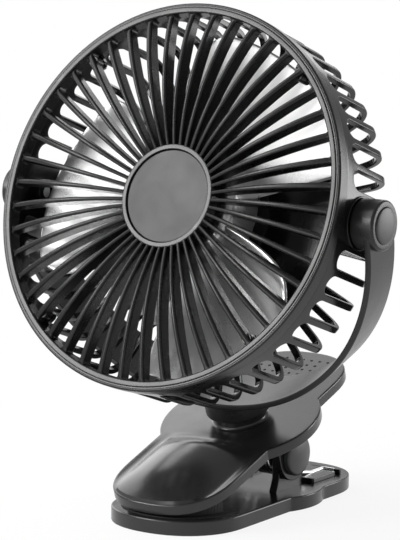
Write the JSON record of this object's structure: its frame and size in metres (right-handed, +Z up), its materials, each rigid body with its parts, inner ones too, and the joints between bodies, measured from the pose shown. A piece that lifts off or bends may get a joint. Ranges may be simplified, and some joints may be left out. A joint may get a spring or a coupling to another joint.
{
  "type": "clip_fan",
  "caption": "Clip-on desk fan: round slotted head in a half-ring bracket that tilts and pans on a spring clip, plain black plastic.",
  "frame": {"origin": "On the floor, on the underside of the clip's foot, straight below the middle of the head's pivot. The part stands as in the picture: closed clip flat on the floor, bracket leaning forward, head looking up.", "axes": "+X to the right as one looks at the grille from the front, +Y to the back, +Z up. The front of the fan faces -Y."},
  "size_m": [0.229, 0.1781, 0.2646],
  "materials": {
    "black_plastic": "satin moulded black plastic",
    "grey_plastic": "matt dark grey plastic",
    "blade_plastic": "smooth pearl grey plastic",
    "inner_plastic": "plain dark plastic",
    "plated_steel": "zinc plated",
    "bare_steel": "ground steel",
    "bearing_brass": "sintered bronze",
    "winding_copper": "enamelled copper wire",
    "board": "green circuit board",
    "clear_lens": "milky light guide",
    "cell_foil": "foil pouch",
    "soft_rubber": "matt black rubber",
    "spring_chrome": "bright plated spring wire"
  },
  "bodies": {
    "clip_base": {"lower_jaw": "black_plastic", "lower_pad": "soft_rubber", "foot_pad": "soft_rubber", "hinge_pin": "plated_steel", "hinge_caps": "black_plastic", "spring_sleeve": "inner_plastic", "torsion_spring": "spring_chrome"},
    "upper_jaw_body": {"upper_jaw": "black_plastic", "jaw_cover": "black_plastic", "cover_screws": "plated_steel", "battery_cell": "cell_foil", "charge_board": "board", "usb_inlet": "plated_steel", "grip_dots": "soft_rubber", "upper_pad": "soft_rubber", "spring_legs": "spring_chrome"},
    "bracket_body": {"bracket": "black_plastic", "pivot_caps": "grey_plastic", "pan_bolt": "plated_steel", "pan_washer": "inner_plastic", "pan_nut": "plated_steel"},
    "head_body": {"front_grille": "black_plastic", "hub_badge": "grey_plastic", "fan_housing": "black_plastic", "grille_screws": "plated_steel", "motor_mount": "inner_plastic", "motor_screws": "plated_steel", "front_bearing": "bearing_brass", "rear_bearing": "bearing_brass", "stator_core": "bare_steel", "windings": "winding_copper", "driver_board": "board", "tact_switch": "inner_plastic", "rear_cover": "black_plastic", "rear_cover_screws": "plated_steel", "indicator_lens": "clear_lens", "pivot_pins": "plated_steel", "friction_washers": "soft_rubber"},
    "impeller_body": {"impeller": "blade_plastic", "rotor_ring": "bare_steel", "motor_shaft": "bare_steel", "shaft_clip": "bare_steel"},
    "button_body": {"power_button": "grey_plastic"}
  },
  "joints": [
    {"name": "jaw_open", "type": "hinge", "parent": "clip_base", "child": "upper_jaw_body", "pos_m": [0, 0.057, 0.0266], "axis": [-1, 0, 0], "range_deg": [0, 34], "stiffness_Nm_per_rad": 2, "springref_deg": -45.84},
    {"name": "bracket_pan", "type": "hinge", "parent": "upper_jaw_body", "child": "bracket_body", "pos_m": [0, 0.04573, 0.04989], "axis": [0, -0.3256, 0.9455], "range_deg": [-170, 170]},
    {"name": "head_tilt", "type": "hinge", "parent": "bracket_body", "child": "head_body", "pos_m": [0, 0, 0.1618], "axis": [-1, 0, 0], "range_deg": [-90, 90]},
    {"name": "impeller_spin", "type": "hinge", "parent": "head_body", "child": "impeller_body", "pos_m": [0, 0, 0.1618], "axis": [0, -0.9455, 0.3256], "continuous": true},
    {"name": "button_press", "type": "slide", "parent": "head_body", "child": "button_body", "axis": [0, -0.9455, 0.3256], "range_m": [0, 0.0008], "stiffness_N_per_m": 400, "springref_m": -0.0005}
  ]
}
